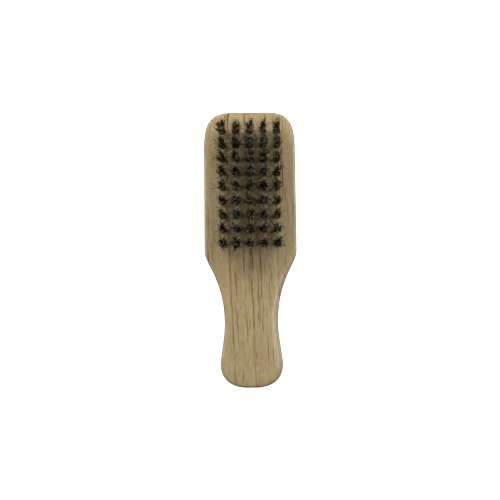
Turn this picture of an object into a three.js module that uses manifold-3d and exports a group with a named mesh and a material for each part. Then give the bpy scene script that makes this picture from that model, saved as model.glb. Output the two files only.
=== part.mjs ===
// A beard brush: a one-piece wooden paddle, filled with tufts of stiff dark bristle.
//
// The brush lies on its back. The origin is the centre of the flat back, +X runs across the head,
// +Y runs from the handle's butt to the end of the head, and +Z points out through the bristles.
// Each tuft is a bundle of bristle folded round a small flat metal anchor, which is driven to the
// bottom of a blind hole until its two ends bite into the wood. The wood and the tufts are meshes
// here, with the room of each anchor cut out of both.

import * as THREE from "three";
import { ConvexGeometry } from "three/addons/geometries/ConvexGeometry.js";
import { mergeVertices } from "three/addons/utils/BufferGeometryUtils.js";
import Module from "manifold-3d";

// Driving dimensions, in millimetres.

// Paddle, as a whole.
const LENGTH = 130;
const THICKNESS = 11;
const EDGE_ROUND = 1.5; // radius of the rounded-over edges, front and back

// Head.
const HEAD_LENGTH = 67.2; // from the end of the head to the shoulders
const HEAD_END_WIDTH = 42.9; // where the corners of the end run into the sides
const SHOULDER_WIDTH = 43.5; // the head widens a little towards the handle
const END_FLAT = 16; // straight middle of the head's end
const END_CORNER_LENGTH = 17.5; // how far each end corner reaches down the side
const SHOULDER_ROUND = 2.2; // from the shoulder's corner point to each end of its curve

// Handle, measured up from its butt.
const NECK_WIDTH = 25.2;
const NECK_HEIGHT = 30.5;
const BULB_WIDTH = 29.4;
const BULB_HEIGHT = 11;
const BUTT_FLAT = 4;

// How strongly each curve of the outline holds its direction, as a share of its own span.
const END_CORNER_PULL = [0.81, 0.7]; // across, along
const SHOULDER_SLOPE = 0.44; // sideways travel for each millimetre towards the butt
const SHOULDER_PULL = 0.18;
const NECK_PULL = [0.54, 0.33]; // towards the shoulder, towards the bulb
const BULB_PULL = [0.16, 0.77]; // towards the neck, towards the butt
const BUTT_PULL = 0.45;

// Tufts.
const COLUMNS = 5;
const ROWS = 9;
const COLUMN_PITCH = 6.4;
const ROW_PITCH = 6.6;
const END_MARGIN = 9; // from the end of the head to the first row's centres
const BRISTLE_LENGTH = 14; // free length above the wood
const TUFT_CLEARANCE = 0.2; // round each tuft, at the mouth of its hole
const TUFT_SPREAD = { across: 0.03, along: 0.08 }; // outward travel for each millimetre of height
const TUFT_DOME = { height: 0.6, inset: 0.5 }; // how the trimmed tips round over at the rim

// Holes and anchors.
const HOLE_DIAMETER = 3.2;
const BACK_WALL = 2.5; // wood left under the drill's point
const DRILL_POINT_ANGLE = 118; // degrees
const FOOT_CLEARANCE = 0.3; // under the fold of a tuft
const FOLD_THICKNESS = 1.0; // bristle between the anchor and the foot of the tuft
const ANCHOR_THICKNESS = 0.25;
const ANCHOR_HEIGHT = 0.9;
const ANCHOR_BITE = 0.5; // into the wood at each end
const ANCHOR_CLEARANCE = 0.02; // round the anchor, in the wood and in the tuft

// Fineness of the facets.
const CURVE_STEPS = 12; // along each curve of the outline
const EDGE_STEPS = 4; // over each rounded edge
const HOLE_SIDES = 16;
const TUFT_SIDES = 12;

// Places that follow from those sizes.
const headEnd = LENGTH / 2;
const butt = -LENGTH / 2;
const shoulderY = headEnd - HEAD_LENGTH;
const neckY = butt + NECK_HEIGHT;
const bulbY = butt + BULB_HEIGHT;
const holeRadius = HOLE_DIAMETER / 2;
const drillPoint = holeRadius / Math.tan(THREE.MathUtils.degToRad(DRILL_POINT_ANGLE / 2));
const holeFloor = BACK_WALL + drillPoint;
const mouthRadius = holeRadius - TUFT_CLEARANCE;
const tuftFoot = holeFloor + FOOT_CLEARANCE;
const tuftTip = THICKNESS + BRISTLE_LENGTH;
const anchorBottom = tuftFoot + FOLD_THICKNESS;
const anchorLength = HOLE_DIAMETER + 2 * ANCHOR_BITE;

const wasm = await Module();
wasm.setup();

// Materials.

const WOOD = new THREE.MeshStandardMaterial({ color: 0xb79f78, roughness: 0.45, metalness: 0 });
const BRISTLE = new THREE.MeshStandardMaterial({ color: 0x1b1913, roughness: 0.5, metalness: 0 });

// Between three.js geometry and manifold-3d solids.

function solidFrom(geometry) {
  const bare = geometry.clone();
  bare.deleteAttribute("normal");
  bare.deleteAttribute("uv");
  const merged = mergeVertices(bare, 1e-4);
  return new wasm.Manifold(
    new wasm.Mesh({
      numProp: 3,
      vertProperties: new Float32Array(merged.attributes.position.array),
      triVerts: new Uint32Array(merged.index.array),
    }),
  );
}

function geometryFrom(solid) {
  const mesh = solid.getMesh();
  const geometry = new THREE.BufferGeometry();
  geometry.setAttribute("position", new THREE.BufferAttribute(mesh.vertProperties, mesh.numProp));
  geometry.setIndex(new THREE.BufferAttribute(mesh.triVerts, 1));
  geometry.computeVertexNormals();
  return geometry;
}

// One side of the paddle's outline, from the end of the head down to the butt. A side of 1 is the
// right one. Each entry is a curve's control points, and the curve starts where the last one ended.
function sideCurves(side) {
  const at = (halfWidth, y) => new THREE.Vector2(side * halfWidth, y);
  const corner = { x: HEAD_END_WIDTH / 2, y: headEnd - END_CORNER_LENGTH };
  const shoulder = { x: SHOULDER_WIDTH / 2, y: shoulderY };
  const neck = NECK_WIDTH / 2;
  const bulb = BULB_WIDTH / 2;
  const endFlat = END_FLAT / 2;
  const buttFlat = BUTT_FLAT / 2;

  const slope = new THREE.Vector2(-SHOULDER_SLOPE, -1).normalize();
  const leave = {
    x: shoulder.x + slope.x * SHOULDER_ROUND,
    y: shoulder.y + slope.y * SHOULDER_ROUND,
  };
  const throatSpan = leave.y - neckY;
  const waistSpan = neckY - bulbY;
  const buttSpan = bulbY - butt;
  return [
    [
      at(endFlat + (corner.x - endFlat) * END_CORNER_PULL[0], headEnd),
      at(corner.x, corner.y + END_CORNER_LENGTH * END_CORNER_PULL[1]),
      at(corner.x, corner.y),
    ],
    [at(shoulder.x, shoulder.y + SHOULDER_ROUND)],
    [at(shoulder.x, shoulder.y), at(leave.x, leave.y)],
    [
      at(leave.x - SHOULDER_SLOPE * throatSpan * SHOULDER_PULL, leave.y - throatSpan * SHOULDER_PULL),
      at(neck, neckY + throatSpan * NECK_PULL[0]),
      at(neck, neckY),
    ],
    [
      at(neck, neckY - waistSpan * NECK_PULL[1]),
      at(bulb, bulbY + waistSpan * BULB_PULL[0]),
      at(bulb, bulbY),
    ],
    [
      at(bulb, bulbY - buttSpan * BULB_PULL[1]),
      at(buttFlat + (bulb - buttFlat) * BUTT_PULL, butt),
      at(buttFlat, butt),
    ],
  ];
}

// The points of one side, evenly stepped along each curve.
function sidePoints(side) {
  let from = new THREE.Vector2((side * END_FLAT) / 2, headEnd);
  const points = [from];
  for (const controls of sideCurves(side)) {
    const curve = {
      1: () => new THREE.LineCurve(from, ...controls),
      2: () => new THREE.QuadraticBezierCurve(from, ...controls),
      3: () => new THREE.CubicBezierCurve(from, ...controls),
    }[controls.length]();
    const steps = { 1: 1, 2: CURVE_STEPS / 3, 3: CURVE_STEPS }[controls.length];
    points.push(...curve.getSpacedPoints(steps).slice(1));
    from = controls.at(-1);
  }
  return points;
}

// The paddle before it is drilled: the outline, extruded, with both edges rounded over.
function blankGeometry() {
  const outline = new THREE.Shape([...sidePoints(1), ...sidePoints(-1).reverse()]);
  const geometry = new THREE.ExtrudeGeometry(outline, {
    depth: THICKNESS - 2 * EDGE_ROUND,
    bevelEnabled: true,
    bevelThickness: EDGE_ROUND,
    bevelSize: EDGE_ROUND,
    bevelOffset: -EDGE_ROUND,
    bevelSegments: EDGE_STEPS,
  });
  return geometry.translate(0, 0, EDGE_ROUND);
}

// A lathe profile of [radius, height] pairs turned about +Z.
function turned(profile, sides) {
  const points = profile.map(([radius, height]) => new THREE.Vector2(radius, height));
  return new THREE.LatheGeometry(points, sides).rotateX(Math.PI / 2);
}

// A blind hole's cutter, with the drill's cone at its bottom, standing on the origin's axis.
function holeCutter() {
  return turned(
    [
      [0, BACK_WALL],
      [holeRadius, holeFloor],
      [holeRadius, THICKNESS + 1],
      [0, THICKNESS + 1],
    ],
    HOLE_SIDES,
  );
}

// The room of one anchor, which lies across the grain at the bottom of its hole.
function anchorRoom() {
  const room = new THREE.BoxGeometry(
    anchorLength + 2 * ANCHOR_CLEARANCE,
    ANCHOR_THICKNESS + 2 * ANCHOR_CLEARANCE,
    ANCHOR_HEIGHT + 2 * ANCHOR_CLEARANCE,
  );
  return room.translate(0, 0, anchorBottom + ANCHOR_HEIGHT / 2);
}

// The points of one level of a tuft, an ellipse at the given height, drawn in by inset.
function tuftLevel(height, inset) {
  const free = height - THICKNESS;
  const across = mouthRadius + TUFT_SPREAD.across * free - inset;
  const along = mouthRadius + TUFT_SPREAD.along * free - inset;
  return Array.from({ length: TUFT_SIDES }, (_, i) => {
    const angle = (i / TUFT_SIDES) * 2 * Math.PI;
    return new THREE.Vector3(across * Math.cos(angle), along * Math.sin(angle), height);
  });
}

// A tuft on the origin's axis: narrow where it is folded round its anchor, and fanned out at the
// tips, more along the brush than across it, because the anchor parts the bundle that way.
function tuftGeometry() {
  const bundle = new ConvexGeometry([
    ...tuftLevel(tuftFoot, 0),
    ...tuftLevel(tuftTip - TUFT_DOME.height, 0),
    ...tuftLevel(tuftTip, TUFT_DOME.inset),
  ]);
  return geometryFrom(solidFrom(bundle).subtract(solidFrom(anchorRoom())));
}

// Where the tufts stand: rows count from the end of the head, and columns from the left.
function tuftPlaces() {
  const places = [];
  for (let row = 0; row < ROWS; row++) {
    for (let column = 0; column < COLUMNS; column++) {
      places.push({
        name: `tuft_row${row + 1}_col${column + 1}`,
        x: (column - (COLUMNS - 1) / 2) * COLUMN_PITCH,
        y: headEnd - END_MARGIN - row * ROW_PITCH,
      });
    }
  }
  return places;
}

function paddleBody() {
  let body = solidFrom(blankGeometry());
  const cutter = solidFrom(holeCutter()).add(solidFrom(anchorRoom()));
  for (const { x, y } of tuftPlaces()) body = body.subtract(cutter.translate(x, y, 0));
  const mesh = new THREE.Mesh(geometryFrom(body), WOOD);
  mesh.name = "paddle_body";
  return mesh;
}

function tufts() {
  const geometry = tuftGeometry();
  return tuftPlaces().map(({ name, x, y }) => {
    const mesh = new THREE.Mesh(geometry, BRISTLE);
    mesh.name = name;
    mesh.position.set(x, y, 0);
    return mesh;
  });
}

const brush = new THREE.Group();
brush.add(paddleBody(), ...tufts());

export default brush;
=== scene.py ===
import math
import random

import bmesh
import bpy
from mathutils import Matrix, Vector
from mathutils.geometry import interpolate_bezier


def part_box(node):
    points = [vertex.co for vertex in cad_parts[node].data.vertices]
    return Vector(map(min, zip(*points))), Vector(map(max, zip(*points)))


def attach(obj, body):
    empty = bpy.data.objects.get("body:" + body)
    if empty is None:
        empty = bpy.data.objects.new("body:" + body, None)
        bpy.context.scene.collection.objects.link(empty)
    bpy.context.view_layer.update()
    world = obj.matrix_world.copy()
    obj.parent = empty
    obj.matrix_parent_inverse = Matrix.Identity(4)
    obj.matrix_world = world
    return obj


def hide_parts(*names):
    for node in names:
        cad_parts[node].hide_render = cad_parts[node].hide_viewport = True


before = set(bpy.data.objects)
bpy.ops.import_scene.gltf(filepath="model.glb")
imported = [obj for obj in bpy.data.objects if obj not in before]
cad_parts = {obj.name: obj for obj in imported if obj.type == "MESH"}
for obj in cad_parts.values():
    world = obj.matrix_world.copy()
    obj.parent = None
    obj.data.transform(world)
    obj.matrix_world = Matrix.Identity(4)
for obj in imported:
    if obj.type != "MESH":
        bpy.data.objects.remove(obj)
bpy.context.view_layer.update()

MM = 0.001


# ---- Camera and light --------------------------------------------------------------------------
# The brush lies on its back and is seen from straight above, turned a little in the view. Two low
# windows beyond the head and one on each side light it, a small lamp high on the right gives the
# edge its shine, and pale walls fill in the rest.

paddle_low, paddle_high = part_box("paddle_body")
face = paddle_high.z

scene = bpy.context.scene
scene.view_settings.view_transform = "Standard"
scene.view_settings.look = "None"

camera_height = 326.8 * MM  # above the brush's face
camera_offset = Vector((-0.28, 0.08)) * MM
camera_turn = math.radians(-0.67)

camera_data = bpy.data.cameras.new("camera")
camera_data.lens = 50
camera_data.sensor_width = 36
camera_data.clip_start = 0.01
camera = bpy.data.objects.new("camera", camera_data)
camera.location = (*camera_offset, face + camera_height)
camera.rotation_euler = (0, 0, camera_turn)
scene.collection.objects.link(camera)
scene.camera = camera


def soft_light(name, place, width, height, power, colour=(1, 1, 1)):
    """An area light that faces the middle of the brush's face."""
    data = bpy.data.lights.new(name, "AREA")
    data.shape = "RECTANGLE"
    data.size = width
    data.size_y = height
    data.energy = power
    data.color = colour
    light = bpy.data.objects.new(name, data)
    light.location = place
    light.rotation_euler = (Vector(place) - Vector((0, 0, face))).to_track_quat("Z", "Y").to_euler()
    scene.collection.objects.link(light)


daylight = (1.0, 0.99, 0.97)
beyond_place = (0.328, 0.391, 0.300)  # of the right-hand window of each pair
beyond_size = (0.38, 0.25)
beyond_power = 1.86
beside_place = (0.545, 0.048, 0.225)
beside_size = (0.30, 0.20)
beside_power = 1.42
lamp_place = (0.150, -0.120, 0.575)
lamp_size = (0.05, 0.05)
lamp_power = 0.23

for side, hand, share in ((-1, "left", 1.04), (1, "right", 0.96)):  # the left pair is the stronger
    x, y, z = beyond_place
    soft_light("window_beyond_" + hand, (side * x, y, z), *beyond_size, beyond_power * share, daylight)
    x, y, z = beside_place
    soft_light("window_on_the_" + hand, (side * x, y, z), *beside_size, beside_power * share, daylight)
soft_light("lamp_on_the_right", lamp_place, *lamp_size, lamp_power)


def pale_walls(seen_colour, thrown_colour, thrown_strength):
    """Walls that look pale from the camera, and throw only a little light on the brush."""
    walls = bpy.data.worlds.new("pale_walls")
    walls.use_nodes = True
    tree = walls.node_tree
    thrown = tree.nodes["Background"]
    thrown.inputs["Color"].default_value = (*thrown_colour, 1)
    thrown.inputs["Strength"].default_value = thrown_strength
    seen = tree.nodes.new("ShaderNodeBackground")
    seen.inputs["Color"].default_value = (*seen_colour, 1)
    light_path = tree.nodes.new("ShaderNodeLightPath")
    either = tree.nodes.new("ShaderNodeMixShader")
    tree.links.new(light_path.outputs["Is Camera Ray"], either.inputs[0])
    tree.links.new(thrown.outputs[0], either.inputs[1])
    tree.links.new(seen.outputs[0], either.inputs[2])
    tree.links.new(either.outputs[0], tree.nodes["World Output"].inputs["Surface"])
    return walls


scene.world = pale_walls(
    seen_colour=(0.90, 0.90, 0.89), thrown_colour=(1.0, 0.98, 0.94), thrown_strength=0.085,
)


# ---- Paddle ------------------------------------------------------------------------------------
# Head and handle are one piece of pale, open-pored hardwood, cut to its outline with a router,
# rounded over on both edges, and drilled with a blind hole for each tuft. It is sanded, and
# sealed with a thin satin lacquer that leaves the pores open.

edge_round = 1.5 * MM
edge_segments = 7
sanded_fall = 0.22 * MM  # sanding has worn the faces down a little towards their edges
sanded_width = 3.2 * MM
sanded_segments = 5
curve_steps = 20

end_flat = 8 * MM  # from here on, widths are half widths from the middle line
end_half = 21.45 * MM
end_corner = 17.5 * MM
end_corner_pull = (0.81, 0.7)
shoulder_half = paddle_high.x
shoulder_y = paddle_high.y - 67.2 * MM
shoulder_round = 2.2 * MM
shoulder_slope = 0.44
shoulder_pull = 0.18
neck_half = 12.6 * MM
neck_y = paddle_low.y + 30.5 * MM
neck_pull = (0.54, 0.33)
bulb_half = 14.7 * MM
bulb_y = paddle_low.y + 11 * MM
bulb_pull = (0.16, 0.77)
butt_flat = 2 * MM
butt_pull = 0.45
same_point = 0.01 * MM  # points closer than this are one, where two curves meet


def half_outline():
    """The right side of the outline, from the middle of the head's end down to the butt."""
    slope = Vector((-shoulder_slope, -1)).normalized()
    leave = Vector((shoulder_half, shoulder_y)) + slope * shoulder_round
    throat = leave.y - neck_y
    waist = neck_y - bulb_y
    butt = bulb_y - paddle_low.y
    corner_y = paddle_high.y - end_corner
    curves = [
        [
            (end_flat, paddle_high.y),
            (end_flat + (end_half - end_flat) * end_corner_pull[0], paddle_high.y),
            (end_half, corner_y + end_corner * end_corner_pull[1]),
            (end_half, corner_y),
        ],
        [
            (shoulder_half, shoulder_y + shoulder_round),
            (shoulder_half, shoulder_y + shoulder_round / 3),
            tuple(leave - slope * shoulder_round * 2 / 3),
            tuple(leave),
        ],
        [
            tuple(leave),
            (
                leave.x - shoulder_slope * throat * shoulder_pull,
                leave.y - throat * shoulder_pull,
            ),
            (neck_half, neck_y + throat * neck_pull[0]),
            (neck_half, neck_y),
        ],
        [
            (neck_half, neck_y),
            (neck_half, neck_y - waist * neck_pull[1]),
            (bulb_half, bulb_y + waist * bulb_pull[0]),
            (bulb_half, bulb_y),
        ],
        [
            (bulb_half, bulb_y),
            (bulb_half, bulb_y - butt * bulb_pull[1]),
            (butt_flat + (bulb_half - butt_flat) * butt_pull, paddle_low.y),
            (butt_flat, paddle_low.y),
        ],
    ]
    points = []
    for start, pull_start, pull_end, end in curves:
        points += interpolate_bezier(start, pull_start, pull_end, end, curve_steps)
    return [p for i, p in enumerate(points) if i == 0 or (p - points[i - 1]).length > same_point]


def finished(name, bm, material):
    """The mesh as an object of its own, at the origin, with smooth shading and one material."""
    mesh = bpy.data.meshes.new(name)
    bm.to_mesh(mesh)
    bm.free()
    mesh.materials.append(material)
    mesh.shade_smooth()
    piece = bpy.data.objects.new(name, mesh)
    scene.collection.objects.link(piece)
    return piece


def edge_steps():
    """How far in and how far out each ring of an edge lies from the last one, side to flat."""
    fall_angle = math.atan(2 * sanded_fall / sanded_width)
    rounding = (edge_round - sanded_fall) / math.cos(fall_angle)
    places = [(0.0, 0.0)]
    for segment in range(1, edge_segments + 1):
        angle = (math.pi / 2 - fall_angle) * segment / edge_segments
        places.append((edge_round * (1 - math.cos(angle)), rounding * math.sin(angle)))
    start = places[-1][0]
    for segment in range(1, sanded_segments + 1):
        left = 1 - segment / sanded_segments
        places.append((start + sanded_width * (1 - left), edge_round - sanded_fall * left ** 2))
    return [(b[0] - a[0], b[1] - a[1]) for a, b in zip(places, places[1:])]


def blank():
    """The paddle before it is drilled."""
    bm = bmesh.new()
    right = half_outline()
    left = [Vector((-p.x, p.y)) for p in reversed(right)]
    outline = [bm.verts.new((p.x, p.y, paddle_low.z + edge_round)) for p in right + left]
    back = bm.faces.new(outline)
    front = bmesh.ops.extrude_face_region(bm, geom=[back])["geom"]
    raised = [v for v in front if isinstance(v, bmesh.types.BMVert)]
    bmesh.ops.translate(bm, verts=raised, vec=(0, 0, face - paddle_low.z - 2 * edge_round))
    bmesh.ops.recalc_face_normals(bm, faces=bm.faces)
    many_sided = [f for f in bm.faces if len(f.verts) > 4]
    flats = sorted(many_sided, key=lambda f: f.calc_center_median().z)
    for flat, out in zip(flats, (-1, 1)):
        for inward, outward in edge_steps():
            bmesh.ops.inset_region(bm, faces=[flat], thickness=inward, depth=0, use_even_offset=True)
            bmesh.ops.translate(bm, verts=flat.verts[:], vec=(0, 0, out * outward))
    bmesh.ops.recalc_face_normals(bm, faces=bm.faces)
    return bm


hole_radius = 1.6 * MM
hole_burr = 0.12 * MM  # the drill's burr, sanded off, leaves a fine chamfer at each mouth
back_wall = 2.5 * MM  # of wood, left under the drill's point
drill_half_angle = math.radians(59)
drill_overshoot = 1 * MM
hole_sides = 28
axis_merge = 0.001 * MM  # the profile's two ends lie on the axis, and are merged there

tuft_names = sorted(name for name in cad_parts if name.startswith("tuft"))
tuft_boxes = {name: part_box(name) for name in tuft_names}


def tuft_centre(name):
    low, high = tuft_boxes[name]
    return Vector(((low.x + high.x) / 2, (low.y + high.y) / 2, 0))


def drilling():
    """What the drill takes out of the blank: a pointed, slightly countersunk peg for each tuft."""
    bm = bmesh.new()
    floor = back_wall + hole_radius / math.tan(drill_half_angle)
    profile = [
        (0, back_wall),
        (hole_radius, floor),
        (hole_radius, face - hole_burr),
        (hole_radius + hole_burr, face),
        (hole_radius + hole_burr, face + drill_overshoot),
        (0, face + drill_overshoot),
    ]
    verts = [bm.verts.new((r, 0, z)) for r, z in profile]
    edges = [bm.edges.new(pair) for pair in zip(verts, verts[1:])]
    bmesh.ops.spin(
        bm, geom=verts + edges, cent=(0, 0, 0), axis=(0, 0, 1), angle=2 * math.pi,
        steps=hole_sides, use_merge=True,
    )
    bmesh.ops.remove_doubles(bm, verts=bm.verts, dist=axis_merge)
    bmesh.ops.recalc_face_normals(bm, faces=bm.faces)
    copy_to_tufts(bm)
    return bm


def copy_to_tufts(bm):
    """Moves what is in the mesh from the origin to the first tuft, and puts a copy at each other."""
    first = list(bm.verts) + list(bm.edges) + list(bm.faces)
    for name in tuft_names[1:]:
        copy = bmesh.ops.duplicate(bm, geom=first)["geom"]
        verts = [v for v in copy if isinstance(v, bmesh.types.BMVert)]
        bmesh.ops.translate(bm, verts=verts, vec=tuft_centre(name))
    verts = [v for v in first if isinstance(v, bmesh.types.BMVert)]
    bmesh.ops.translate(bm, verts=verts, vec=tuft_centre(tuft_names[0]))


anchor_size = Vector((4.2, 0.25, 0.9)) * MM
anchor_clearance = 0.02 * MM
anchor_lift = 1.0 * MM  # for the folded bristles under it
anchor_bottom = tuft_boxes[tuft_names[0]][0].z + anchor_lift


def anchor_block(bm, size):
    """A block of this size where an anchor sits, before it is copied to the tufts."""
    middle = Vector((0, 0, anchor_bottom + anchor_size.z / 2))
    matrix = Matrix.Translation(middle) @ Matrix.Diagonal((*size, 1))
    return bmesh.ops.create_cube(bm, size=1, matrix=matrix)


def anchor_seats():
    """The slots that the anchors press into the walls of their holes."""
    bm = bmesh.new()
    anchor_block(bm, anchor_size + Vector((2, 2, 2)) * anchor_clearance)
    copy_to_tufts(bm)
    return bm


def cut(piece, tool):
    """Takes the tool's mesh out of the piece, and the tool away."""
    modifier = piece.modifiers.new("cut", "BOOLEAN")
    modifier.operation = "DIFFERENCE"
    modifier.solver = "EXACT"
    modifier.object = tool
    bpy.context.view_layer.update()
    evaluated = piece.evaluated_get(bpy.context.evaluated_depsgraph_get())
    cut_mesh = bpy.data.meshes.new_from_object(evaluated)
    piece.modifiers.remove(modifier)
    piece.data = cut_mesh
    bpy.data.objects.remove(tool)


def add_node(tree, kind, inputs=(), **settings):
    """A shader node with its settings, and its inputs set or linked. Each input is a pair."""
    node = tree.nodes.new(kind)
    for setting, value in settings.items():
        setattr(node, setting, value)
    for socket, value in inputs:
        if isinstance(value, bpy.types.NodeSocket):
            tree.links.new(value, node.inputs[socket])
        else:
            node.inputs[socket].default_value = value
    return node


def maths(tree, operation, *values):
    """The result of a Math node on these values or sockets."""
    return add_node(tree, "ShaderNodeMath", enumerate(values), operation=operation).outputs[0]


def ramp(tree, value, low, high, to_low=0.0, to_high=1.0):
    """A smooth step of the value, from one number to another."""
    inputs = [(0, value), (1, low), (2, high), (3, to_low), (4, to_high)]
    return add_node(
        tree, "ShaderNodeMapRange", inputs, interpolation_type="SMOOTHSTEP",
    ).outputs[0]


def new_group(name, inputs, outputs):
    """An empty node group with float inputs after its Vector, and float outputs."""
    group = bpy.data.node_groups.new(name, "ShaderNodeTree")
    group.interface.new_socket("Vector", in_out="INPUT", socket_type="NodeSocketVector")
    for label in inputs:
        group.interface.new_socket(label, in_out="INPUT", socket_type="NodeSocketFloat")
    for label in outputs:
        group.interface.new_socket(label, in_out="OUTPUT", socket_type="NodeSocketFloat")
    entry = group.nodes.new("NodeGroupInput")
    leave = group.nodes.new("NodeGroupOutput")
    return group, entry.outputs, leave.inputs


GRAIN_SLANT = math.radians(-1.9)  # the board was sawn a little off the grain


def along_grain(tree, vector, across, along):
    """Places in the wood, turned to the grain and counted in these lengths, in millimetres."""
    turned = add_node(
        tree, "ShaderNodeMapping",
        [("Vector", vector), ("Rotation", (0, 0, GRAIN_SLANT)), ("Scale", (1000, 1000, 1000))],
    ).outputs[0]
    lengths = add_node(tree, "ShaderNodeCombineXYZ", [(0, across), (1, along), (2, across)]).outputs[0]
    return add_node(
        tree, "ShaderNodeVectorMath", [(0, turned), (1, lengths)], operation="DIVIDE",
    ).outputs[0]


def growth_rings():
    """Growth rings round a pith below the board, to one side. Line is the dark late wood at the end
    of each year, stronger in some years and patches, and Year is how far through the year."""
    group, given, out = new_group(
        "growth_rings", ["Pith X", "Pith Z", "Spacing", "Waviness"], ["Line", "Year"],
    )
    place = along_grain(group, given["Vector"], 1.0, 1.0)
    broad = along_grain(group, given["Vector"], 22.0, 160.0)
    wander = add_node(group, "ShaderNodeTexNoise", [("Vector", broad), ("Scale", 1), ("Detail", 2)])
    wander = maths(group, "SUBTRACT", wander.outputs[0], 0.5)
    shift = maths(group, "MULTIPLY", wander, given["Waviness"])
    x, _, z = add_node(group, "ShaderNodeSeparateXYZ", [(0, place)]).outputs
    x = maths(group, "SUBTRACT", x, given["Pith X"])
    z = maths(group, "SUBTRACT", z, given["Pith Z"])
    squares = maths(group, "ADD", maths(group, "MULTIPLY", x, x), maths(group, "MULTIPLY", z, z))
    radius = maths(group, "SQRT", squares)
    years = maths(group, "DIVIDE", maths(group, "ADD", radius, shift), given["Spacing"])
    uneven = add_node(
        group, "ShaderNodeTexNoise", [("W", years), ("Scale", 0.9), ("Detail", 0)],
        noise_dimensions="1D",
    )
    years = maths(group, "ADD", years, maths(group, "MULTIPLY", uneven.outputs[0], 0.8))
    year = maths(group, "FRACT", years)
    own = add_node(
        group, "ShaderNodeTexWhiteNoise", [("W", maths(group, "FLOOR", years))],
        noise_dimensions="1D",
    ).outputs["Value"]
    darkens = ramp(group, year, 0.91, 0.965)
    ends = ramp(group, year, 0.985, 0.999, 1, 0)
    late = maths(group, "MULTIPLY", darkens, ends)
    patches = along_grain(group, given["Vector"], 2.6, 13.0)
    patchy = add_node(group, "ShaderNodeTexNoise", [("Vector", patches), ("Scale", 1), ("Detail", 1)])
    by_year = ramp(group, own, 0.1, 0.9, 0.6, 1)
    by_patch = ramp(group, patchy.outputs[0], 0.40, 0.58, 0.55, 1)
    strength = maths(group, "MULTIPLY", by_year, by_patch)
    group.links.new(maths(group, "MULTIPLY", late, strength), out["Line"])
    group.links.new(year, out["Year"])
    return group


def pores():
    """Long open vessels that show as short brown dashes where the surface cuts them. Width and
    Length are those of a dash's cell, and Share is how many cells have a dash."""
    group, given, out = new_group("pores", ["Width", "Length", "Thickness", "Share"], ["Mask"])
    cells = along_grain(group, given["Vector"], given["Width"], given["Length"])
    bend = along_grain(group, given["Vector"], 6.0, 14.0)
    swerve = add_node(group, "ShaderNodeTexNoise", [("Vector", bend), ("Scale", 1), ("Detail", 1)])
    swerved = add_node(
        group, "ShaderNodeVectorMath",
        [(0, swerve.outputs["Color"]), (1, (0.35, 0.0, 0.35)), (2, cells)], operation="MULTIPLY_ADD",
    ).outputs[0]
    cell = add_node(group, "ShaderNodeTexVoronoi", [("Vector", swerved), ("Scale", 1)])
    own = add_node(group, "ShaderNodeSeparateColor", [(0, cell.outputs["Color"])]).outputs
    inner = maths(group, "MULTIPLY", given["Thickness"], 0.35)
    dash = ramp(group, cell.outputs["Distance"], inner, given["Thickness"], 1.0, 0.0)
    chosen = maths(group, "LESS_THAN", own[0], given["Share"])
    weight = maths(group, "MULTIPLY_ADD", own[1], 0.55, 0.45)
    mask = maths(group, "MULTIPLY", maths(group, "MULTIPLY", dash, chosen), weight)
    group.links.new(mask, out["Mask"])
    return group


def streaks():
    """Fine streaks that run with the grain or the draw of a wire, from 0 to 1."""
    group, given, out = new_group("streaks", ["Across", "Along", "Detail"], ["Value"])
    place = along_grain(group, given["Vector"], given["Across"], given["Along"])
    fine = add_node(
        group, "ShaderNodeTexNoise",
        [("Vector", place), ("Scale", 1), ("Detail", given["Detail"]), ("Roughness", 0.6)],
    )
    group.links.new(fine.outputs[0], out["Value"])
    return group


rings_group = growth_rings()
pores_group = pores()
streaks_group = streaks()


def use_group(tree, group, vector, **values):
    """Places a node group, fed with the vector, with its other inputs by name."""
    node = tree.nodes.new("ShaderNodeGroup")
    node.node_tree = group
    tree.links.new(vector, node.inputs["Vector"])
    for label, value in values.items():
        node.inputs[label.replace("_", " ")].default_value = value
    return node.outputs


def mixed(tree, share, first, second, blend="MIX"):
    """Two colours mixed by a share. Each is a socket or three numbers."""
    node = add_node(tree, "ShaderNodeMix", data_type="RGBA", blend_type=blend)
    share_in, first_in, second_in = node.inputs[0], node.inputs[6], node.inputs[7]
    for socket, value in ((share_in, share), (first_in, first), (second_in, second)):
        if isinstance(value, bpy.types.NodeSocket):
            tree.links.new(value, socket)
        elif isinstance(value, tuple):
            socket.default_value = (*value, 1)
        else:
            socket.default_value = value
    return node.outputs[2]


sapwood = (0.560, 0.470, 0.260)
pinkish_wood = (0.575, 0.445, 0.255)
end_grain_tint = (0.66, 0.58, 0.49)
edge_shade_tint = (0.42, 0.40, 0.38)  # painted shade: the steep sides of the edges are darkened into a dark outline


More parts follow.
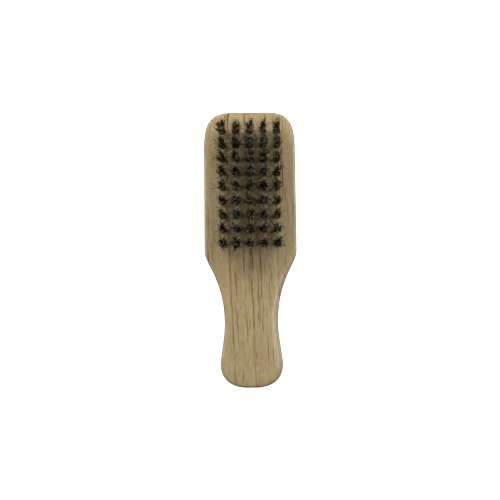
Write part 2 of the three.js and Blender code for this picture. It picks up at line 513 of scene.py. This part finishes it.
def lacquered_wood():
    """Pale yellow-brown sapwood with pinkish bands, brown year lines and pores, under satin lacquer."""
    material = bpy.data.materials.new("lacquered_wood")
    material.use_nodes = True
    tree = material.node_tree
    shader = tree.nodes["Principled BSDF"]
    coordinates = tree.nodes.new("ShaderNodeTexCoord").outputs
    here = coordinates["Object"]

    rings = use_group(tree, rings_group, here, Pith_X=-48.6, Pith_Z=-38.0, Spacing=8.2, Waviness=4.0)
    cloud = use_group(tree, streaks_group, here, Across=9.0, Along=60.0, Detail=2.0)["Value"]
    bands = use_group(tree, streaks_group, here, Across=1.8, Along=90.0, Detail=3.0)["Value"]
    mottle = use_group(tree, streaks_group, here, Across=0.7, Along=2.5, Detail=3.0)["Value"]
    fibres = use_group(tree, streaks_group, here, Across=0.35, Along=6.0, Detail=4.0)["Value"]
    long_pores = use_group(
        tree, pores_group, here, Width=1.1, Length=34.0, Thickness=0.36, Share=1.0,
    )["Mask"]
    short_pores = use_group(
        tree, pores_group, here, Width=0.80, Length=16.0, Thickness=0.36, Share=0.95,
    )["Mask"]
    fine_pores = use_group(
        tree, pores_group, here, Width=0.50, Length=6.0, Thickness=0.32, Share=0.8,
    )["Mask"]

    colour = mixed(tree, ramp(tree, cloud, 0.3, 0.7), sapwood, pinkish_wood)
    early = ramp(tree, rings["Year"], 0.35, 0.85, 1.0, 0.5)
    clusters = use_group(tree, streaks_group, here, Across=5.0, Along=32.0, Detail=1.0)["Value"]
    dashes = maths(tree, "MULTIPLY", maths(tree, "MAXIMUM", long_pores, short_pores), early)
    dashes = maths(tree, "MULTIPLY", dashes, ramp(tree, clusters, 0.38, 0.60, 0.30, 1.15))
    shades = [  # how much of each is there, how strong it is, and what it multiplies the wood by
        (ramp(tree, bands, 0.35, 0.75), 0.45, (0.82, 0.74, 0.66)),
        (ramp(tree, mottle, 0.32, 0.68), 0.7, (0.76, 0.72, 0.66)),
        (ramp(tree, fibres, 0.35, 0.7), 0.5, (0.80, 0.74, 0.66)),
        (ramp(tree, rings["Year"], 0.1, 0.9, 1.0, 0.0), 0.35, (0.85, 0.80, 0.76)),
        (fine_pores, 0.8, (0.58, 0.41, 0.28)),
        (rings["Line"], 0.95, (0.50, 0.34, 0.20)),
        (dashes, 1.0, (0.40, 0.21, 0.09)),
    ]
    for share, strength, tint in shades:
        share = maths(tree, "MULTIPLY", share, strength)
        colour = mixed(tree, share, colour, tint, "MULTIPLY")

    facing = add_node(tree, "ShaderNodeSeparateXYZ", [(0, coordinates["Normal"])]).outputs
    end_grain = ramp(tree, maths(tree, "ABSOLUTE", facing[1]), 0.35, 1.0)
    # Painted shade: where the surface turns steeply at the edges it is darkened, which draws a dark
    # outline round the paddle.
    edge_shade = ramp(tree, maths(tree, "ABSOLUTE", facing[2]), 0.55, 0.90, 1.0, 0.0)
    for share, strength, tint in ((end_grain, 0.6, end_grain_tint), (edge_shade, 0.9, edge_shade_tint)):
        share = maths(tree, "MULTIPLY", share, strength)
        colour = mixed(tree, share, colour, tint, "MULTIPLY")
    tree.links.new(colour, shader.inputs["Base Color"])

    dull = maths(tree, "MULTIPLY_ADD", dashes, 0.22, maths(tree, "MULTIPLY_ADD", fibres, 0.16, 0.36))
    tree.links.new(dull, shader.inputs["Roughness"])
    shader.inputs["Specular IOR Level"].default_value = 0.25
    shader.inputs["Coat Weight"].default_value = 0.5
    shader.inputs["Coat Roughness"].default_value = 0.18

    orange_peel = add_node(
        tree, "ShaderNodeTexNoise", [("Vector", here), ("Scale", 2600), ("Detail", 2)],
    ).outputs[0]
    height = maths(tree, "MULTIPLY_ADD", dashes, -1.0, maths(tree, "MULTIPLY", fibres, 0.35))
    height = maths(tree, "MULTIPLY_ADD", orange_peel, 0.60, height)
    bump = add_node(
        tree, "ShaderNodeBump", [("Strength", 0.5), ("Distance", 0.06 * MM), ("Height", height)],
    )
    tree.links.new(bump.outputs[0], shader.inputs["Normal"])
    tree.links.new(bump.outputs[0], shader.inputs["Coat Normal"])
    return material


crease = math.radians(40)  # edges that turn more than this are shaded sharp

paddle = finished("paddle", blank(), lacquered_wood())
cut(paddle, finished("anchor_seats", anchor_seats(), paddle.data.materials[0]))
cut(paddle, finished("drilling", drilling(), paddle.data.materials[0]))
paddle.data.name = "paddle"
paddle.data.shade_smooth()
paddle.data.set_sharp_from_angle(angle=crease)
even_light = paddle.modifiers.new("flat_faces_stay_flat", "WEIGHTED_NORMAL")
even_light.keep_sharp = True
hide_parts("paddle_body")
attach(paddle, "root")


# ---- Anchors -----------------------------------------------------------------------------------
# Each tuft is held by a short length of flat steel wire, laid across its fold and punched to the
# bottom of the hole, where its two ends bite into the wood.

def drawn_steel():
    """Flat wire, dull from the draw plate and cut with a shear."""
    material = bpy.data.materials.new("drawn_steel")
    material.use_nodes = True
    tree = material.node_tree
    shader = tree.nodes["Principled BSDF"]
    here = tree.nodes.new("ShaderNodeTexCoord").outputs["Object"]
    turned = add_node(tree, "ShaderNodeMapping", [("Vector", here), ("Rotation", (0, 0, math.pi / 2))])
    lines = use_group(
        tree, streaks_group, turned.outputs[0], Across=0.05, Along=3.0, Detail=2.0,
    )["Value"]
    colour = mixed(tree, lines, (0.48, 0.47, 0.45), (0.66, 0.65, 0.63))
    tree.links.new(colour, shader.inputs["Base Color"])
    tree.links.new(maths(tree, "MULTIPLY_ADD", lines, 0.3, 0.25), shader.inputs["Roughness"])
    shader.inputs["Metallic"].default_value = 1.0
    bump = add_node(
        tree, "ShaderNodeBump", [("Strength", 0.3), ("Distance", 0.01 * MM), ("Height", lines)],
    )
    tree.links.new(bump.outputs[0], shader.inputs["Normal"])
    return material


steel = drawn_steel()
wire_edge = 0.05 * MM
for name in tuft_names:
    bm = bmesh.new()
    anchor_block(bm, anchor_size)
    bmesh.ops.bevel(
        bm, geom=bm.edges[:], affect="EDGES", offset=wire_edge, segments=2, profile=0.5, material=-1,
    )
    bmesh.ops.translate(bm, verts=bm.verts, vec=tuft_centre(name))
    anchor = finished(name.replace("tuft", "anchor"), bm, steel)
    anchor.data.set_sharp_from_angle(angle=crease)
    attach(anchor, "root")


# ---- Tufts -------------------------------------------------------------------------------------
# A tuft is a pinch of stiff black bristles, folded in two round its anchor, so that every bristle
# has two tips. The tips are trimmed level. They fan out, more along the brush than across it, and
# a few browner strays stand away from the rest and cross to the next tufts.

bristles_in_tuft = 65
bristle_root = 0.115 * MM  # the radii
bristle_tip = 0.085 * MM
fold_reach = 1.2 * MM  # of the outermost bristle, along and across the anchor
fold_gap = 0.27 * MM  # of the innermost one, from the middle of the anchor
fold_depth = 0.72  # depth of each fold, as a share of its reach
mouth_spread = 1.12  # the bundle fills out from the fold to the mouth of the hole
leg_points = 7
fold_points = 5

locks_in_tuft = 14  # the bristles stand in small pointed locks
golden_angle = math.radians(137.5)  # from each lock to the next, which spreads them evenly
lock_turn = 0.2  # how unevenly they stand round the tuft
lock_point = 0.18  # how far a lock has drawn together at its tip

fan = Vector((0.036, 0.090))  # from here on, sideways travel for each unit of height
column_lean = (-0.045, 0.0, 0.045, 0.0, -0.01)  # from the left, in the row nearest the head's end
end_lean = 0.032  # in that row, towards the head's end
tuft_scatter = 0.014
lock_leans = (0.010, 0.010, 0.025)  # one lock in three leans more
leg_scatter = (0.016, 0.020)
leg_curls = (0.01, 0.02, 0.08)  # one leg in three is bent more
stray_reach = (0.10, 0.36)
stray_curl = 0.18

trim_scatter = 0.3 * MM  # of the tips, below the level they are trimmed to
stoutness_range = (0.8, 1.15)
brown_mean, brown_scatter = 0.08, 0.08
glint_share = 0.20  # of the tips get a painted highlight: they are coloured pale, for their glints
stray_share = 0.075
stray_height = (0.5, 0.97)
stray_stoutness = 1.15
stray_brownness = (0.3, 1.0)
turned_in = 0.92  # of the strays that would leave the field of tufts

tip_height = tuft_boxes[tuft_names[0]][1].z - face
centres = [tuft_centre(name) for name in tuft_names]
column_pitch = centres[1].x - centres[0].x
field_margin = Vector((2.5, 3.0)) * MM  # beyond the outer tufts' middles
field_middle = (centres[0] + centres[-1]).to_2d() / 2
field_half = Vector((abs(centres[0].x - centres[-1].x), abs(centres[0].y - centres[-1].y))) / 2
field_half += field_margin

black_bristle = (0.050, 0.050, 0.024)
brown_bristle = (0.120, 0.070, 0.026)
# Painted highlight: the pale colour that some tips are given stands in for their glints.
painted_tip_glint = (0.95, 0.94, 0.72)
scale_shade = (0.72, 0.72, 0.72)


def stiff_bristle():
    """Near-black bristle with a waxy shine, some of it browner, and painted pale at some tips as their
    glints.
    """
    material = bpy.data.materials.new("stiff_bristle")
    material.use_nodes = True
    tree = material.node_tree
    shader = tree.nodes["Principled BSDF"]
    here = tree.nodes.new("ShaderNodeTexCoord").outputs["Object"]
    brownness = add_node(tree, "ShaderNodeAttribute", attribute_name="brownness").outputs["Fac"]
    towards_tip = add_node(tree, "ShaderNodeAttribute", attribute_name="towards_tip").outputs["Fac"]
    tip_glint = add_node(tree, "ShaderNodeAttribute", attribute_name="tip_glint").outputs["Fac"]
    scales = add_node(
        tree, "ShaderNodeTexNoise", [("Vector", here), ("Scale", 900), ("Detail", 3)],
    ).outputs[0]
    colour = mixed(tree, brownness, black_bristle, brown_bristle)
    # Painted highlight: the very end of a glinting tip is painted pale.
    end = maths(tree, "MULTIPLY", ramp(tree, towards_tip, 0.95, 0.995), tip_glint)
    colour = mixed(tree, end, colour, painted_tip_glint)
    colour = mixed(tree, ramp(tree, scales, 0.3, 0.7), colour, scale_shade, "MULTIPLY")
    tree.links.new(colour, shader.inputs["Base Color"])
    tree.links.new(maths(tree, "MULTIPLY_ADD", scales, 0.2, 0.18), shader.inputs["Roughness"])
    shader.inputs["Specular IOR Level"].default_value = 0.4
    shader.inputs["Specular Tint"].default_value = (1.0, 0.94, 0.74, 1)
    bump = add_node(
        tree, "ShaderNodeBump", [("Strength", 0.2), ("Distance", 0.01 * MM), ("Height", scales)],
    )
    tree.links.new(bump.outputs[0], shader.inputs["Normal"])
    return material


def make_locks(chance):
    """The foot and the lean of each lock in a tuft."""
    locks = []
    start = chance.uniform(0, 2 * math.pi)
    for index in range(locks_in_tuft):
        angle = start + index * golden_angle + chance.gauss(0, lock_turn)
        reach = fold_reach * mouth_spread * math.sqrt((index + 0.5) / locks_in_tuft)
        foot = Vector((math.cos(angle), math.sin(angle))) * reach
        wild = chance.choice(lock_leans)
        locks.append((foot, Vector((chance.gauss(0, wild), chance.gauss(0, wild)))))
    return locks


def free_leg(chance, centre, foot, lean, lock):
    """The points of one leg above its foot, which is at the mouth of the hole, up to its tip. A
    stray has no lock. Leans and curls are sideways travel for each unit of height."""
    height = tip_height
    if lock is None:
        angle = chance.uniform(0, 2 * math.pi)
        away = Vector((math.cos(angle), math.sin(angle))) * chance.uniform(*stray_reach)
        curl = Vector((chance.gauss(0, stray_curl), chance.gauss(0, stray_curl)))
        end = centre.to_2d() + (away + curl) * tip_height - field_middle
        leaves = abs(end.x) > field_half.x or abs(end.y) > field_half.y
        if chance.random() < turned_in and leaves:
            away = -away
            curl = -curl
        height *= chance.uniform(*stray_height)
    else:
        lock_foot, lock_lean = lock
        away = Vector((fan.x * foot.x, fan.y * foot.y)) / (fold_reach * mouth_spread)
        away += lock_lean + (lock_foot - foot) * lock_point / tip_height
        away += Vector((chance.gauss(0, leg_scatter[0]), chance.gauss(0, leg_scatter[1])))
        wild = chance.choice(leg_curls)
        curl = lock_lean * chance.uniform(0, 1)
        curl += Vector((chance.gauss(0, wild), chance.gauss(0, wild)))
        height += min(0.0, chance.gauss(-trim_scatter, trim_scatter))
    away += lean
    points = []
    for step in range(1, leg_points):
        share = step / (leg_points - 1)
        place = foot + (away * share + curl * share * share) * height
        points.append(Vector((place.x, place.y, face + height * share)))
    return points


def bristle_path(chance, centre, lean, locks, stray):
    """The points of one folded bristle, from tip to tip, and 1 for each tip that gets a painted glint.
    """
    while True:
        x = chance.uniform(-fold_reach, fold_reach)
        reach = chance.uniform(fold_gap, fold_reach)
        if math.hypot(x, reach) < fold_reach:
            break
    fold = []
    for step in range(fold_points):
        angle = math.pi * step / (fold_points - 1)
        fold.append(Vector((
            x, reach * math.cos(angle), anchor_bottom - reach * fold_depth * math.sin(angle),
        )))
    legs, pale = [], []
    for side in (1, -1):
        foot = Vector((x, side * reach)) * mouth_spread
        lock = None if stray else min(locks, key=lambda lock: (lock[0] - foot).length)
        # Some tips, never a stray's, get a painted highlight: they are coloured pale, for their glints.
        pale.append(1.0 if chance.random() < glint_share and not stray else 0.0)
        legs.append([foot.to_3d() + Vector((0, 0, face))] + free_leg(chance, centre, foot, lean, lock))
    path = legs[0][::-1] + fold + legs[1]
    return [point + centre for point in path], pale


def sweep(bm, paths, brownness, tip_glint, stoutness):
    """Draws a four-sided section along every path at once. The paths have equal numbers of points."""
    number = bm.verts.layers.int.new("bristle")
    brown = bm.verts.layers.float.new("brownness")
    # Which tips are painted pale, as a painted highlight for their glints.
    glint_layer = bm.verts.layers.float.new("tip_glint")
    tipward = bm.verts.layers.float.new("towards_tip")
    last = len(paths[0]) - 1

    def thickness(step):
        from_fold = abs(2 * step / last - 1)
        return bristle_root + (bristle_tip - bristle_root) * from_fold ** 2

    caps = []
    for index, path in enumerate(paths):
        turn = (path[1] - path[0]).to_track_quat("Z", "X").to_matrix().to_4x4()
        start = Matrix.Translation(path[0]) @ turn
        ring = bmesh.ops.create_circle(
            bm, cap_ends=True, segments=4, radius=thickness(0) * stoutness[index], matrix=start,
        )["verts"]
        for vert in ring:
            vert[number] = index
            vert[brown] = brownness[index]
            vert[glint_layer] = tip_glint[index][0]
            vert[tipward] = 1.0
        caps.append(ring[0].link_faces[0])
    directions = [(path[1] - path[0]).normalized() for path in paths]
    for step in range(1, last + 1):
        moved = bmesh.ops.extrude_face_region(bm, geom=caps)["geom"]
        caps = [f for f in moved if isinstance(f, bmesh.types.BMFace)]
        scale = thickness(step) / thickness(step - 1)
        turns = []
        for index, path in enumerate(paths):
            ahead = path[min(step + 1, last)] - path[step - 1]
            ahead.normalize()
            turns.append(directions[index].rotation_difference(ahead))
            directions[index] = ahead
        for vert in moved:
            if not isinstance(vert, bmesh.types.BMVert):
                continue
            index = vert[number]
            path = paths[index]
            arm = turns[index] @ (vert.co - path[step - 1])
            vert.co = path[step] + arm * scale
            vert[tipward] = abs(2 * step / last - 1)
            vert[glint_layer] = tip_glint[index][0 if 2 * step < last else 1]
    bmesh.ops.recalc_face_normals(bm, faces=bm.faces)


bristle_material = stiff_bristle()
for order, name in enumerate(tuft_names):
    chance = random.Random(order + 1)
    centre = centres[order]
    upward = (centre.y - field_middle.y) / field_half.y / 2 + 0.5
    lean = Vector((chance.gauss(0, tuft_scatter), chance.gauss(0, tuft_scatter)))
    lean.x += column_lean[round((centre.x - centres[0].x) / column_pitch)] * upward
    lean.y += end_lean * upward
    locks = make_locks(chance)
    paths, brownness, tip_glint, stoutness = [], [], [], []
    for _ in range(bristles_in_tuft):
        stray = chance.random() < stray_share
        path, pale = bristle_path(chance, centre, lean, locks, stray)
        paths.append(path)
        if stray:
            brownness.append(chance.uniform(*stray_brownness))
        else:
            brownness.append(max(0.0, chance.gauss(brown_mean, brown_scatter)))
        tip_glint.append(pale)
        stoutness.append(stray_stoutness if stray else chance.uniform(*stoutness_range))
    bm = bmesh.new()
    sweep(bm, paths, brownness, tip_glint, stoutness)
    tuft = finished(name.replace("tuft", "bristles"), bm, bristle_material)
    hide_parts(name)
    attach(tuft, "root")


# ---- Table -------------------------------------------------------------------------------------
# A plain white tabletop under the brush. It glows a little, so that it looks white all over, and
# throws little light back at the wood.

def white_table():
    """White laminate: what is seen of it glows, and what it throws at the brush is dim."""
    material = bpy.data.materials.new("white_table")
    material.use_nodes = True
    tree = material.node_tree
    seen = tree.nodes["Principled BSDF"]
    seen.inputs["Base Color"].default_value = (0.92, 0.92, 0.92, 1)
    seen.inputs["Roughness"].default_value = 0.8
    seen.inputs["Emission Color"].default_value = (1, 1, 1, 1)
    seen.inputs["Emission Strength"].default_value = 0.85
    thrown = add_node(tree, "ShaderNodeBsdfDiffuse", [("Color", (0.12, 0.12, 0.12, 1))])
    light_path = tree.nodes.new("ShaderNodeLightPath")
    either = add_node(
        tree, "ShaderNodeMixShader",
        [(0, light_path.outputs["Is Camera Ray"]), (1, thrown.outputs[0]), (2, seen.outputs[0])],
    )
    tree.links.new(either.outputs[0], tree.nodes["Material Output"].inputs["Surface"])
    return material


table_size = 4.0
table_gap = 0.05 * MM  # the back doesn't quite touch it
bm = bmesh.new()
bmesh.ops.create_grid(bm, x_segments=1, y_segments=1, size=table_size / 2)
bmesh.ops.translate(bm, verts=bm.verts, vec=(0, 0, paddle_low.z - table_gap))
table = finished("table", bm, white_table())
